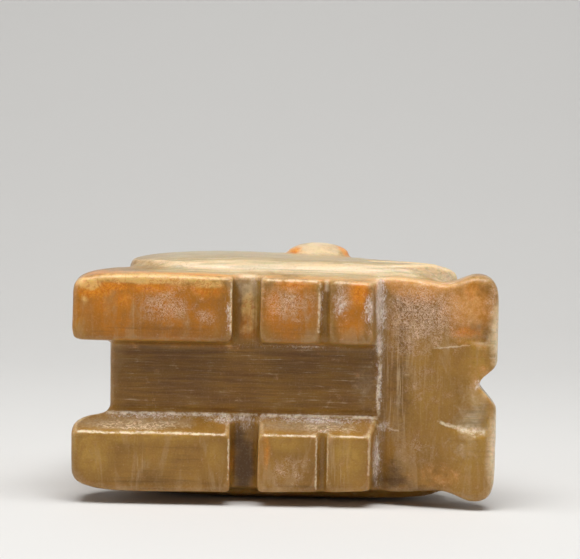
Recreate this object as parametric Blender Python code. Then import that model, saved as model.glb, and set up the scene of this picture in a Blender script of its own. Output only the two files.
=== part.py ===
"""A small bird carved in the round from one pebble of jade, lying on its right flank.

The bird is modelled in its own frame first: X runs from the toes to the tail, Y from the soles
up to the back, and Z from the middle plane out to the left flank. At the end it is laid on the
flank that it comes to rest on, with its soles towards -Y and its left flank up.
"""
import functools
import math

import bmesh
import bpy
from mathutils import Matrix, Vector

# Driving sizes, in metres
LENGTH = 0.0502           # toe tips to tail end
HALF_WIDTH = 0.01285      # the middle plane to a flank, at the belly
CHANNEL_LEFT = 0.0051     # the middle plane to the left wall of the cut between the feet, at the sole
CHANNEL_RIGHT = 0.0059    # the same to its right wall, which slopes more
FLOOR_LEFT = 0.0046       # the same two at the floor of the cut
FLOOR_RIGHT = 0.0039
CHANNEL_DEPTH = 0.0032    # soles to belly
TOE_GAP = 0.0033          # between the front and the hind toe of each foot
TOE_GAP_STEP = 0.0001     # how much less deep it is than the channel
TOE_LINE_WIDTH = 0.0012   # the narrow cut across each hind toe
TOE_LINE_DEPTH = 0.0008
NOTCH_WIDTH = 0.0042      # the fork of the tail, at the tail end
NOTCH_DEPTH = 0.0022
NOTCH_FLAT = 0.0006       # the width of its blunt bottom
LEFT_GOUGE_DEPTH = 0.00075  # the gouges under the tail, at its end
RIGHT_GOUGE_DEPTH = 0.0011
WING_THICKNESS = 0.0011   # how far a wing stands out of the flank
BOSS_RADIUS = 0.0041      # the round boss on each wing
BOSS_HEIGHT = 0.0018
WORN_BOSS_HEIGHT = 0.0008  # the boss it lies on, which is worn down
EYE_RADIUS = 0.0025
EYE_HEIGHT = 0.0006       # how far an eye stands out of the head
FEATHER_WIDTH = 0.0014    # the carved lines of the wings and the tail
FEATHER_DEPTH = 0.0004
EDGE_ROUND = 0.0005       # the polish on the edges of blocks and cuts
CHEST_ROUND = 0.0032      # the upright corners beside the breast

# How finely the stone is worked
ROUGH_GRAIN = 0.00048     # voxel of the stone before its cuts
GRAIN = 0.00034           # voxel of the worked surface
POLISH = 3                # passes of smoothing
FACETS = 9400             # triangles of the finished solid

# The free form keeps its proportions: its places and outlines are in hundredths of its length
SHARE = LENGTH / 100
TOE_TIP, CHEST_X, HIND_TOE_END, TAIL_END = -50.1, -41.3, 20.2, 50.0
GAP_X, TOE_LINE_X = -9.3, 9.1
HOLLOW_END = 45.0
HOLLOW_CURVE = ((0.13, 1.03), (0.32, 0.72), (0.56, 0.41), (0.8, 0.14), (1, 0))  # shares of run and depth
TAIL_START = 14.0
TAIL_END_ROUND = 3.6
NOTCH_Z, NOTCH_LEAN = 1.4, 1.25
BOSS_X, BOSS_Y = 7.6, 33.0
BELLY_END, BELLY_TOP = 28.0, 22.0
BELLY_HALF = HALF_WIDTH / SHARE
TRUNK_ENDS = (-42.3, 48.5)
TRUNK_TOP = ((-42, 44), (-30, 53), (-14, 57), (4, 51), (16, 44.5), (27, 37.5), (36, 30.5), (42, 24),
             (50, 12))
TRUNK_WIDER = ((-42, -1.6), (-36, -0.2), (-26, 0.8), (-13, 1.2), (0, 1.1), (16, 0.8), (41, -0.2), (50, -3.6))
TRUNK_MIDDLE = ((-42, 26), (-26, 25), (0, 23), (10, 21), (20, 18), (30, 15.5), (40, 12), (50, 6))
TAIL_WIDER = ((14, 0), (24, 0.3), (34, -0.8), (38, -1.1), (41, 0), (43.5, 1.1), (46, 1.4), (50, 0.8))
TAIL_TOP = ((14, 22), (30, 19), (40, 15), (46, 11.5), (50, 9.5))
FOOT_INNER = 7.6
FOOT_WIDER = ((-50, -0.2), (-47, 0), (-43, 0.2), (-37, 0.3), (-30, 0.3), (-19, 0.1), (4, -0.3), (20, -0.6))
FOOT_OUTER_TOP = ((-50, 12.5), (-48, 15.6), (-45, 18.4), (-40, 21), (-30, 19), (20, 14))
LEFT_INSTEP = ((-50, 1.6), (-46, 1.9), (-43, 2.8), (-41, 6.5), (-38, 12), (20, 13))
RIGHT_INSTEP = ((-50, 4.0), (-48, 6.0), (-45, 7.8), (-42, 8.6), (-40, 10), (-37, 13), (20, 13))
WING_LOW = ((-38.4, 17), (-33, 12.6), (-27, 10.4), (-18, 9.6), (0, 9.2), (20, 9.4), (32, 11), (41.4, 14.5))
WING_HIGH = ((-38.4, 38), (-32, 44), (-22, 47.5), (-8, 47), (6, 44), (20, 38), (30, 32.5), (41.4, 23))
WING_LINES, WING_LINE_START = (0.26, 0.5, 0.74), 18.0
TAIL_LINES, TAIL_LINE_START = (-12.0, 1.4, 13.0), 37.0
GOUGE_END = 48.0
LEFT_GOUGE, LEFT_GOUGE_START = (16.0, 11.8, 9.9), 37.0
RIGHT_GOUGE, RIGHT_GOUGE_START = (-2.5, -8.7, -11.6), 36.0
HEAD_AT, HEAD_RADII, HEAD_TILT = (-26.5, 51.0, 0), (14.8, 13.3, 17.0), -8
EYE_AT = (-31.0, 53.5)
BEAK_PATH = ((-35.0, 54.0), (-42.6, 55.5), (-41.6, 38.0))
BEAK_START, BEAK_TIP, BEAK_BALLS = (5.2, 6.0), (1.6, 2.0), 20

# Squareness of the sections: 2 is an oval, and more is boxier
ARCHED, BOXY, SLAB = 2.9, 6.0, 9.0


def along(keys, x):
    """The value at x of the smooth curve through the keys, each a place and a value."""
    last = len(keys) - 1
    x = min(max(x, keys[0][0]), keys[last][0])
    i = next(k for k in range(last) if x <= keys[k + 1][0])

    def slope(k):
        low, high = keys[max(k - 1, 0)], keys[min(k + 1, last)]
        return (high[1] - low[1]) / (high[0] - low[0])

    (x0, v0), (x1, v1) = keys[i], keys[i + 1]
    run = x1 - x0
    t = (x - x0) / run
    value = v0 * (1 + 2 * t) * (1 - t) ** 2 + v1 * t * t * (3 - 2 * t)
    return value + run * (slope(i) * t * (1 - t) ** 2 + slope(i + 1) * t * t * (t - 1))


def half_width(wider, x):
    """The half width at x of trunk, tail or feet, each a little more or less than the belly's."""
    return BELLY_HALF + along(wider, x)


def power(value, squareness):
    """One side of a section's outline, whose corners fill out as the squareness grows."""
    return math.copysign(abs(value) ** (2 / squareness), value)


def fullness(t, blunt):
    """How much of its section a form has at t, from -1 at one end to 1 at the other."""
    end = blunt[0] if t < 0 else blunt[1]
    return (1 - min(abs(t), 1.0) ** end) ** (1 / end)


def push_out(stone, ends, blunt, section, side=1):
    """Adds a ball and pushes its points out to a form that runs along X between ends.

    section(x, full, up, out) gives the height and the distance from the middle plane of the
    point that lies up and out from the middle of the section.
    """
    turned = Matrix.Rotation(math.pi / 2, 4, "Y")
    ball = bmesh.ops.create_uvsphere(stone, u_segments=56, v_segments=40, radius=1.0, matrix=turned)
    middle, half = sum(ends) / 2, (ends[1] - ends[0]) / 2
    for vert in ball["verts"]:
        x, t = middle + half * vert.co.x, vert.co.x
        reach = math.hypot(vert.co.y, vert.co.z) or 1.0
        y, z = section(x, fullness(t, blunt), vert.co.y / reach, side * vert.co.z / reach)
        vert.co = Vector((x, y, side * z)) * SHARE


def trunk_half(x, above):
    """The height of the trunk's widest place, and its reach and squareness up or down from there."""
    middle = along(TRUNK_MIDDLE, x)
    if above:
        return middle, along(TRUNK_TOP, x) - middle, ARCHED
    return middle, middle - (CHANNEL_DEPTH + EDGE_ROUND / 2) / SHARE, BOXY


def trunk_section(x, full, up, out):
    """Breast, belly and back: boxy below, arched above."""
    middle, half, squareness = trunk_half(x, up > 0)
    y = middle + full * half * power(up, squareness)
    return y, full * half_width(TRUNK_WIDER, x) * power(out, squareness)


def flank(x, y):
    """The body's half width at x and height y."""
    middle, half, squareness = trunk_half(x, y > along(TRUNK_MIDDLE, x))
    offset = min(abs(y - middle) / half, 0.98)
    trunk = half_width(TRUNK_WIDER, x) * (1 - offset**squareness) ** (1 / squareness)
    return max(trunk, BELLY_HALF) if y < BELLY_TOP * 0.6 else trunk


def wing_section(x, full, up, out):
    """A slab that follows the flank and stands out of it by the wing's thickness."""
    low, high = along(WING_LOW, x), along(WING_HIGH, x)
    y = (low + high) / 2 + full * (high - low) / 2 * power(up, BOXY)
    thick = WING_THICKNESS / SHARE if out > 0 else BELLY_HALF / 5
    return y, flank(x, y) + thick * math.sqrt(full) * power(out, BOXY)


def foot_section(instep, x, full, up, out):
    """A foot: a flat sole, ground later, under an instep that slopes up to the outer side."""
    inner, outer = FOOT_INNER, half_width(FOOT_WIDER, x)
    z = (inner + outer) / 2 + full * (outer - inner) / 2 * power(out, SLAB)
    share = (z - inner) / (outer - inner)
    low_top, high_top = along(instep, x), along(FOOT_OUTER_TOP, x)
    top, bottom = low_top + (high_top - low_top) * share, -EDGE_ROUND / SHARE
    half = (top - bottom) / 2
    return bottom + half + full * half * power(up, BOXY if up > 0 else SLAB), z


def tail_section(x, full, up, out):
    """The tail: a broad slab that thins to a rounded end."""
    past = max(0.0, x - (TAIL_END - TAIL_END_ROUND))
    curl = TAIL_END_ROUND - math.sqrt(max(TAIL_END_ROUND**2 - past**2, 0.0))
    top, bottom = along(TAIL_TOP, x) - curl, curl - EDGE_ROUND / SHARE
    y = (top + bottom) / 2 + (top - bottom) / 2 * power(up, ARCHED if up > 0 else SLAB)
    return y, full * half_width(TAIL_WIDER, x) * power(out, BOXY)


def add_ball(stone, centre, radii, tilt=0.0):
    """A ball stretched to the radii and tilted about Z, all in shares."""
    place = Matrix.Translation(Vector(centre) * SHARE)
    turn = Matrix.Rotation(math.radians(tilt), 4, "Z")
    size = Matrix.Diagonal((*(radius * SHARE for radius in radii), 1.0))
    bmesh.ops.create_uvsphere(stone, u_segments=40, v_segments=28, radius=1.0, matrix=place @ turn @ size)


def round_edges(stone, edges, radius, segments=3):
    """Rounds the edges of a block or a cutter."""
    bmesh.ops.bevel(stone, geom=edges, offset=radius, segments=segments, profile=0.5,
                    affect="EDGES", material=-1)


def add_block(stone, low, high):
    """A box between two corners, in metres. Returns its edges."""
    low, high = Vector(low), Vector(high)
    place = Matrix.Translation((low + high) / 2) @ Matrix.Diagonal((*(high - low), 1.0))
    cube = bmesh.ops.create_cube(stone, size=1.0, matrix=place)
    return list({edge for vert in cube["verts"] for edge in vert.link_edges})


def draw_out(stone, outline, by):
    """A closed outline drawn out along a straight line into a solid."""
    face = stone.faces.new([stone.verts.new(point) for point in outline])
    drawn = bmesh.ops.extrude_face_region(stone, geom=[face])
    moved = [item for item in drawn["geom"] if isinstance(item, bmesh.types.BMVert)]
    bmesh.ops.translate(stone, verts=moved, vec=by)
    bmesh.ops.recalc_face_normals(stone, faces=stone.faces)


def add_belly(stone):
    """The squared block under breast and belly that the feet grow from."""
    low = (CHEST_X * SHARE, CHANNEL_DEPTH, -BELLY_HALF * SHARE)
    high = (BELLY_END * SHARE, BELLY_TOP * SHARE, BELLY_HALF * SHARE)
    upright = [edge for edge in add_block(stone, low, high) if edge.verts[0].co.xz == edge.verts[1].co.xz]
    round_edges(stone, upright, CHEST_ROUND, 6)


def add_boss(stone, side):
    """The round boss, half sunk in the wing."""
    z = flank(BOSS_X, BOSS_Y) + (WING_THICKNESS - EDGE_ROUND / 2) / SHARE
    radius, height = BOSS_RADIUS / SHARE, (BOSS_HEIGHT if side > 0 else WORN_BOSS_HEIGHT) / SHARE
    add_ball(stone, (BOSS_X, BOSS_Y, side * z), (radius, radius, height))


def add_eye(stone, side):
    """A low round eye, set on the side of the head."""
    x, y = EYE_AT[0] - HEAD_AT[0], EYE_AT[1] - HEAD_AT[1]
    inside = math.sqrt(1 - (x / HEAD_RADII[0]) ** 2 - (y / HEAD_RADII[1]) ** 2)
    radius, height = EYE_RADIUS / SHARE, EYE_HEIGHT / SHARE
    add_ball(stone, (*EYE_AT, side * (HEAD_RADII[2] * inside - height)), (radius, radius, 2 * height))


def add_beak(stone):
    """A hooked beak: balls that shrink along a curve from the brow down onto the breast."""
    start, bend, end = (Vector(point) for point in BEAK_PATH)
    for ball in range(BEAK_BALLS):
        t = ball / (BEAK_BALLS - 1)
        place = start * (1 - t) ** 2 + bend * 2 * t * (1 - t) + end * t * t
        deep, wide = (a + (b - a) * t for a, b in zip(BEAK_START, BEAK_TIP))
        add_ball(stone, (place.x, place.y, 0), (deep, deep, wide))


def rough_bird():
    """All the forms that stand out, overlapping."""
    stone = bmesh.new()
    push_out(stone, TRUNK_ENDS, (4.5, 3.0), trunk_section)
    push_out(stone, (TAIL_START, TAIL_END), (4, 12), tail_section)
    add_belly(stone)
    for side, instep, toe_blunt in ((1, LEFT_INSTEP, 9), (-1, RIGHT_INSTEP, 7)):
        foot = functools.partial(foot_section, instep)
        push_out(stone, (TOE_TIP, HIND_TOE_END + 2.4), (toe_blunt, 14), foot, side)
        push_out(stone, (WING_LOW[0][0], WING_LOW[-1][0]), (4.4, 4), wing_section, side)
        add_boss(stone, side)
        add_eye(stone, side)
    add_ball(stone, HEAD_AT, HEAD_RADII, tilt=HEAD_TILT)
    add_beak(stone)
    return stone


def object_of(name, shape):
    """A new object in the scene, made of a bmesh."""
    mesh = bpy.data.meshes.new(name)
    shape.to_mesh(mesh)
    shape.free()
    thing = bpy.data.objects.new(name, mesh)
    bpy.context.scene.collection.objects.link(thing)
    return thing


def settle(thing):
    """Makes the result of an object's modifiers its own mesh."""
    graph = bpy.context.evaluated_depsgraph_get()
    made = bpy.data.meshes.new_from_object(thing.evaluated_get(graph))
    thing.modifiers.clear()
    old, thing.data = thing.data, made
    bpy.data.meshes.remove(old)


def remesh(thing, voxel):
    """Makes overlapping forms one skin of even grain."""
    grain = thing.modifiers.new("grain", "REMESH")
    grain.mode = "VOXEL"
    grain.voxel_size = voxel
    settle(thing)


def cut(thing, cutter):
    """Takes the cutter's shape out of the thing, and the cutter away."""
    step = thing.modifiers.new(cutter.name, "BOOLEAN")
    step.operation = "DIFFERENCE"
    step.object = cutter
    settle(thing)
    bpy.data.objects.remove(cutter)


def channel_cutter():
    """The long cut between the feet, whose walls lean out, and run on as far below the soles."""
    cutter = bmesh.new()
    below = CHANNEL_DEPTH
    left, right = 2 * CHANNEL_LEFT - FLOOR_LEFT, 2 * CHANNEL_RIGHT - FLOOR_RIGHT
    start, end = 1.2 * TOE_TIP * SHARE, (HIND_TOE_END + 1.6) * SHARE
    outline = ((-below, -right), (-below, left), (CHANNEL_DEPTH, FLOOR_LEFT), (CHANNEL_DEPTH, -FLOOR_RIGHT))
    draw_out(cutter, [(start, y, z) for y, z in outline], (end - start, 0, 0))
    floor_edges = [e for e in cutter.edges if min(v.co.y for v in e.verts) > CHANNEL_DEPTH - 1e-6]
    round_edges(cutter, floor_edges, EDGE_ROUND)
    return object_of("channel", cutter)


def slot_cutter(name, x, width, depth, round_by):
    """A wheel-cut slot across both feet."""
    cutter = bmesh.new()
    reach = 2 * BELLY_HALF * SHARE
    middle = x * SHARE
    edges = add_block(cutter, (middle - width / 2, -reach, -reach), (middle + width / 2, depth, reach))
    round_edges(cutter, edges, round_by)
    return object_of(name, cutter)


def tail_cutter():
    """The hollow behind the hind toes, deepest at their foot, which runs out towards the tail end."""
    deep = CHANNEL_DEPTH / SHARE
    run = HOLLOW_END - HIND_TOE_END
    outline = [(HIND_TOE_END - 1.3, -deep), (HIND_TOE_END, 0), (HIND_TOE_END + 2.2, 1.08 * deep)]
    outline += [(HIND_TOE_END + share * run, deep * rise) for share, rise in HOLLOW_CURVE]
    outline += [(1.2 * TAIL_END, -0.1 * deep), (1.2 * TAIL_END, -deep)]
    cutter = bmesh.new()
    half = 2 * BELLY_HALF
    corners = [Vector((x, y, -half)) * SHARE for x, y in outline]
    draw_out(cutter, corners, (0, 0, 2 * half * SHARE))
    return object_of("tail_hollow", cutter)


def notch_cutter():
    """The fork of the tail: a V cut right through, a little off the middle."""
    cutter = bmesh.new()
    apex, mouth = TAIL_END * SHARE - NOTCH_DEPTH, TAIL_END * SHARE + NOTCH_DEPTH
    middle, flat, half = NOTCH_Z * SHARE, NOTCH_FLAT / 2, NOTCH_WIDTH
    outline = ((apex, -flat), (mouth, -NOTCH_LEAN * half), (mouth, half), (apex, flat))
    low, high = -CHANNEL_DEPTH, TAIL_TOP[0][1] * SHARE
    draw_out(cutter, [(x, low, middle + z) for x, z in outline], (0, high - low, 0))
    return object_of("notch", cutter)


def gouge_cutter(name, start, across, depth):
    """A wedge under the tail that widens and deepens from a point at start to a V at the tail's end."""
    cutter = bmesh.new()
    near, deep, far = across
    over, tip_height, depth = 3.0, 1.4, depth / SHARE
    corners = [(start, tip_height, deep), (start, -over, deep), (GOUGE_END, depth, deep)]
    corners += [(GOUGE_END, y, z) for y in (0.0, -over) for z in (near, far)]
    bmesh.ops.convex_hull(cutter, input=[cutter.verts.new(Vector(corner) * SHARE) for corner in corners])
    bmesh.ops.recalc_face_normals(cutter, faces=cutter.faces)
    return object_of(name, cutter)


def line_depth(distance, from_end):
    """The round hollow of a carved line at a distance from its middle, running in from its end."""
    half, run_in = FEATHER_WIDTH / 2 / SHARE, 5.0
    return min(1.0, max(0.0, from_end) / run_in) * max(0.0, 1 - (distance / half) ** 2)


def carve_lines(thing):
    """Sinks the feather lines of the wings and of the tail's upper side."""
    outward = [vert.normal.copy() for vert in thing.data.vertices]
    for vert, normal in zip(thing.data.vertices, outward):
        x, y, z = vert.co / SHARE
        depths = [0.0]
        if abs(z) > BELLY_HALF - 3 and WING_LINE_START < x < WING_LOW[-1][0]:
            low, high = along(WING_LOW, x), along(WING_HIGH, x)
            from_end = min(x - WING_LINE_START, WING_LOW[-1][0] - x)
            depths += [line_depth(y - low - share * (high - low), from_end) for share in WING_LINES]
        elif normal.y > 0.3:
            depths += [line_depth(z - middle, x - TAIL_LINE_START) for middle in TAIL_LINES]
        vert.co -= normal * FEATHER_DEPTH * max(depths)


def polish(thing, passes):
    """Rounds every edge a little."""
    smooth = thing.modifiers.new("polish", "SMOOTH")
    smooth.factor, smooth.iterations = 0.5, round(passes)
    settle(thing)


def thin_to(thing, count):
    """Brings the mesh down to about count triangles, keeping most where it curves most."""
    thing.data.calc_loop_triangles()
    step = thing.modifiers.new("facets", "DECIMATE")
    step.ratio = min(1.0, count / len(thing.data.loop_triangles))
    settle(thing)


def grind_soles(thing):
    """Cuts everything below the soles' plane away, so that the bird stands flat."""
    cutter = bmesh.new()
    reach = 2 * LENGTH
    add_block(cutter, (-reach, -reach, -reach), (reach, 0, reach))
    cut(thing, object_of("grindstone", cutter))


def balance_point(mesh):
    """The centre of mass of a closed mesh of triangles."""
    volume, moment = 0.0, Vector()
    for face in mesh.faces:
        a, b, c = (vert.co for vert in face.verts)
        part = a.dot(b.cross(c)) / 6
        volume += part
        moment += part * (a + b + c) / 4
    return moment / volume


def resting_side(mesh):
    """The outward normal of the hull face, lowest on the right flank, that holds the bird at rest."""
    centre = balance_point(mesh)
    hull = bmesh.new()
    found = bmesh.ops.convex_hull(hull, input=[hull.verts.new(vert.co) for vert in mesh.verts])
    inside = {item for item in found["geom_interior"] if isinstance(item, bmesh.types.BMVert)}
    bmesh.ops.delete(hull, geom=list(inside), context="VERTS")
    bmesh.ops.recalc_face_normals(hull, faces=hull.faces)
    steady = []
    for face in hull.faces:
        corners = [vert.co for vert in face.verts]
        under = centre - face.normal * (centre - corners[0]).dot(face.normal)
        pairs = zip(corners, corners[1:] + corners[:1])
        if all((b - a).cross(under - a).dot(face.normal) > 0 for a, b in pairs):
            steady.append(face.normal.copy())
    hull.free()
    return min(steady, key=lambda normal: normal.z)


def lay_down(thing):
    """Turns the bird onto the side it rests on, and stands that on the ground over the origin."""
    mesh = bmesh.new()
    mesh.from_mesh(thing.data)
    bmesh.ops.triangulate(mesh, faces=mesh.faces)
    turn = resting_side(mesh).rotation_difference(Vector((0, 0, -1)))
    mesh.free()
    thing.data.transform(turn.to_matrix().to_4x4())
    places = list(zip(*(vert.co for vert in thing.data.vertices)))
    low, high = Vector(map(min, places)), Vector(map(max, places))
    thing.data.transform(Matrix.Translation((-(low.x + high.x) / 2, -(low.y + high.y) / 2, -low.z)))


def jade():
    """Honey-brown jade with a waxy polish."""
    material = bpy.data.materials.new("jade")
    material.use_nodes = True
    shader = material.node_tree.nodes["Principled BSDF"]
    shader.inputs["Base Color"].default_value = (0.42, 0.22, 0.07, 1)
    shader.inputs["Roughness"].default_value = 0.3
    shader.inputs["Metallic"].default_value = 0.0
    return material


def main():
    for thing in list(bpy.data.objects):
        bpy.data.objects.remove(thing)
    bird = object_of("bird_carving", rough_bird())
    remesh(bird, ROUGH_GRAIN)
    cut(bird, tail_cutter())
    cut(bird, channel_cutter())
    cut(bird, slot_cutter("toe_gap", GAP_X, TOE_GAP, CHANNEL_DEPTH - TOE_GAP_STEP, 1.5 * EDGE_ROUND))
    cut(bird, slot_cutter("toe_line", TOE_LINE_X, TOE_LINE_WIDTH, TOE_LINE_DEPTH, TOE_LINE_WIDTH / 3))
    cut(bird, notch_cutter())
    cut(bird, gouge_cutter("left_gouge", LEFT_GOUGE_START, LEFT_GOUGE, LEFT_GOUGE_DEPTH))
    cut(bird, gouge_cutter("right_gouge", RIGHT_GOUGE_START, RIGHT_GOUGE, RIGHT_GOUGE_DEPTH))
    remesh(bird, GRAIN)
    polish(bird, POLISH)
    carve_lines(bird)
    polish(bird, 1)
    thin_to(bird, FACETS)
    grind_soles(bird)
    lay_down(bird)
    bird.data.materials.clear()
    bird.data.materials.append(jade())
    bird.data.shade_smooth()


main()
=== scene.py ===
"""A small bird carved from one pebble of jade: worked, worn and stained stone, and its setting."""
import math

import bmesh
import bpy
import numpy as np
from mathutils import Matrix, Vector, noise


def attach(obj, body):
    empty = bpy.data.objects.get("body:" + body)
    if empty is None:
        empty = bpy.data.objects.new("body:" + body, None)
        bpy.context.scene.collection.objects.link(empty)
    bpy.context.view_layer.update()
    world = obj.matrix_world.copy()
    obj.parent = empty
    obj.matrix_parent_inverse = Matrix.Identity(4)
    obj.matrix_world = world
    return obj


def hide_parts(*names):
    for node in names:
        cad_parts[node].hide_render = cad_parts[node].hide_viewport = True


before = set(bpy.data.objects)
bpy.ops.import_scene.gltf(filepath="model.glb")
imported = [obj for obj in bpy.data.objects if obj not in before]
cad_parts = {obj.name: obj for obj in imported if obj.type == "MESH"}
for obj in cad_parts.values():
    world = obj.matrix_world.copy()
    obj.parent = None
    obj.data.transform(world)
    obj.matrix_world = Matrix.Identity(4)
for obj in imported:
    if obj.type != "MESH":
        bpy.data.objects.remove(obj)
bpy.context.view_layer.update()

# The bird's own frame: X runs from toes to tail, Y from soles to back, Z from the middle to the
# left flank. Places on the stone are in it, in hundredths of the bird's length.
SHARE = 0.000502
TURN = Matrix(((1.0, 0.0, -0.0007), (0.0, 0.9999, -0.0107), (0.0007, 0.0107, 0.9999)))
PLACE = Vector((0.00003, -0.01606, 0.01445))

GRAIN = 0.00029           # spacing of the worked surface, in metres
CRISP, EVEN = 1, 14       # passes of polish on edges and on open surfaces
SHARPER = 0.7             # how much more the worked edges stand out
EDGE_KEPT = 0.00007       # how far polish may move a point before it counts as an edge
BLURRED = 5               # passes of polish that the edges are sharpened against
RUBBED = 0.75             # how much of its crispness the left foot's inner edge has lost
WEAR = 0.00009            # how far an edge stands out where it is fully worn
UNEVEN = 0.00005          # how far hand polishing strays
FADE = 1.2                # how fast a stroke of colour fades from its middle

# Parts of the stone: their lowest and highest place and their softness along X, Y and Z
LEFT_INNER_EDGE = ((-52, 19, 1), (-1, 4, 2), (9.3, 11.6, 0.8))
BELLY = ((-37, 21, 5), (3.4, 8, 2), (-7.8, 9.4, 1.5))


# The worked surface

def worked_copy(node):
    """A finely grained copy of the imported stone, as one skin."""
    shape = bmesh.new()
    shape.from_mesh(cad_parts[node].data)
    bmesh.ops.remove_doubles(shape, verts=shape.verts, dist=1e-6)
    mesh = bpy.data.meshes.new("carved_bird")
    shape.to_mesh(mesh)
    shape.free()
    piece = bpy.data.objects.new("carved_bird", mesh)
    bpy.context.scene.collection.objects.link(piece)
    grain = piece.modifiers.new("grain", "REMESH")
    grain.mode = "VOXEL"
    grain.voxel_size = GRAIN
    graph = bpy.context.evaluated_depsgraph_get()
    piece.data = bpy.data.meshes.new_from_object(piece.evaluated_get(graph))
    piece.modifiers.clear()
    return piece


class Surface:
    """The points of the stone's skin, with their neighbours."""

    def __init__(self, mesh):
        self.mesh = mesh
        self.count = len(mesh.vertices)
        self.points = np.empty(self.count * 3, np.float32)
        mesh.vertices.foreach_get("co", self.points)
        self.points = self.points.reshape(-1, 3).astype(float)
        ends = np.empty(len(mesh.edges) * 2, np.int32)
        mesh.edges.foreach_get("vertices", ends)
        self.ends = ends.reshape(-1, 2)
        self.neighbours = np.bincount(ends, minlength=self.count)

    def spread(self, values, passes):
        """Values evened out over neighbouring points."""
        near, far = self.ends[:, 0], self.ends[:, 1]
        for _ in range(passes):
            total = np.bincount(near, values[far], self.count) + np.bincount(far, values[near], self.count)
            values = 0.5 * values + 0.5 * total / self.neighbours
        return values

    def polished(self, passes):
        """The points after so many passes of polish."""
        return np.stack([self.spread(self.points[:, axis], passes) for axis in range(3)], axis=1)

    def store(self):
        """Writes the points back to the mesh."""
        self.mesh.vertices.foreach_set("co", self.points.astype(np.float32).ravel())
        self.mesh.update()

    def normals(self):
        """The outward direction at each point."""
        self.store()
        directions = np.empty(self.count * 3, np.float32)
        self.mesh.vertex_normals.foreach_get("vector", directions)
        return directions.reshape(-1, 3).astype(float)

    def places(self):
        """The points in the bird's own frame, in shares of its length."""
        return (self.points - np.array(PLACE)) @ np.array(TURN) / SHARE

    def mark(self, name, values):
        """Stores a value for each point, for the material to read."""
        layer = self.mesh.attributes.new(name, "FLOAT", "POINT")
        layer.data.foreach_set("value", values.astype(np.float32))


def within(values, low, high, soft):
    """1 between low and high, falling to 0 over a soft distance outside them."""
    return np.clip(1 - np.maximum(low - values, values - high) / soft, 0, 1)


def inside(places, part):
    """1 inside a part of the stone, and 0 well outside it."""
    return np.prod([within(values, *span) for values, span in zip(places.T, part)], axis=0)


def polish(surface):
    """Evens the open surfaces, and leaves the worked edges crisp but for the left foot's inner one."""
    rubbed = inside(surface.places(), LEFT_INNER_EDGE)
    crisp, even = surface.polished(CRISP), surface.polished(EVEN)
    crisp += SHARPER * (crisp - surface.polished(BLURRED))
    gap = np.linalg.norm(even - crisp, axis=1)
    edges = np.clip(gap / EDGE_KEPT, 0, 1) * (1 - RUBBED * rubbed)
    kept = surface.spread(edges, 3)[:, None]
    surface.points = even + kept * (crisp - even)


def work_by_hand(surface):
    """The slight unevenness of a stone worked and polished by hand."""
    places = [Vector(place) for place in surface.places()]
    stray = [noise.noise(0.11 * place) + 0.4 * noise.noise(0.33 * place) for place in places]
    incise(surface, UNEVEN * np.array(stray))


def incise(surface, depth):
    """Sinks the surface along its normals by a depth in metres for each point."""
    surface.points -= surface.normals() * depth[:, None]


def distance_to_path(x, y, path):
    """How far each point is from a path of straight stretches, seen along the third axis."""
    nearest = np.full(len(x), 1e9)
    for (x0, y0), (x1, y1) in zip(path, path[1:]):
        along = ((x - x0) * (x1 - x0) + (y - y0) * (y1 - y0)) / ((x1 - x0) ** 2 + (y1 - y0) ** 2)
        along = np.clip(along, 0, 1)
        nearest = np.minimum(nearest, np.hypot(x - x0 - along * (x1 - x0), y - y0 - along * (y1 - y0)))
    return nearest


def line(distance, half, depth):
    """The round hollow of an incised line."""
    return depth * np.clip(1 - (distance / half) ** 2, 0, 1)


# Depths of the incised lines, in metres
NECK_DEPTH, RING_DEPTH, PUPIL_DEPTH, BEAK_DEPTH = 0.00024, 0.00020, 0.00015, 0.00014
WING_DEPTH, TAIL_DEPTH, SCORE_DEPTH = 0.00016, 0.00020, 0.00006

HEAD_AT, HEAD_RADII, EYE_AT = (-26.5, 51.0, 0.0), (14.8, 13.3, 17.0), (-31.0, 53.5)
RING_RADIUS, PUPIL_RADIUS = 5.6, 2.6
BEAK_LINE = ((-37.0, 50.6), (-39.4, 48.6), (-40.2, 45.0), (-40.0, 41.0))


def carve_head(surface):
    """The line round the neck, a ring round each eye with the pupil inside it, and the beak's line."""
    places = surface.places()
    x, y, z = places.T
    outside = np.linalg.norm((places - HEAD_AT) / HEAD_RADII, axis=1) - 1
    neck = np.where(y < 50, line((outside - 0.10) * 14, 1.0, NECK_DEPTH), 0)
    around = np.hypot(x - EYE_AT[0], y - EYE_AT[1])
    sides = np.abs(z) > 8
    ring = np.where(sides, line(np.abs(around - RING_RADIUS), 0.8, RING_DEPTH), 0)
    pupil = np.where(sides, line(np.abs(around - PUPIL_RADIUS), 0.6, PUPIL_DEPTH), 0)
    beside = (np.abs(z) > 1.0) & (x < -34)
    beak = np.where(beside, line(distance_to_path(x, y, BEAK_LINE), 0.6, BEAK_DEPTH), 0)
    incise(surface, np.max([neck, ring, pupil, beak], axis=0))


TOE_SCORES = (
    ((-35.4, 22.4), (-35.4, 13)), ((-33.0, 22.4), (-33.0, 13)),
    ((-36, -14.6), (-36, -23.5)), ((-32.5, -14.6), (-32.2, -23.5)),
)

BOSS_AT, BOSS_RADIUS = (7.6, 33.0), 8.0
WING_LOW = ((-38.4, 17), (-33, 12.6), (-27, 10.4), (-18, 9.6), (0, 9.2), (20, 9.4), (32, 11), (41.4, 14.5))
WING_HIGH = ((-38.4, 38), (-32, 44), (-22, 47.5), (-8, 47), (6, 44), (20, 38), (30, 32.5), (41.4, 23))
WING_BLUNT, WING_MIDDLE, WING_REACH = 4.2, 1.5, 39.9
WING_FEATHERS, WING_FEATHER_START = (0.26, 0.5, 0.74), 0.42
TAIL_FEATHERS, TAIL_FEATHER_START, TAIL_FEATHER_RUN_IN = (-12.0, 1.4, 13.0), 37.0, 4.0


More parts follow.
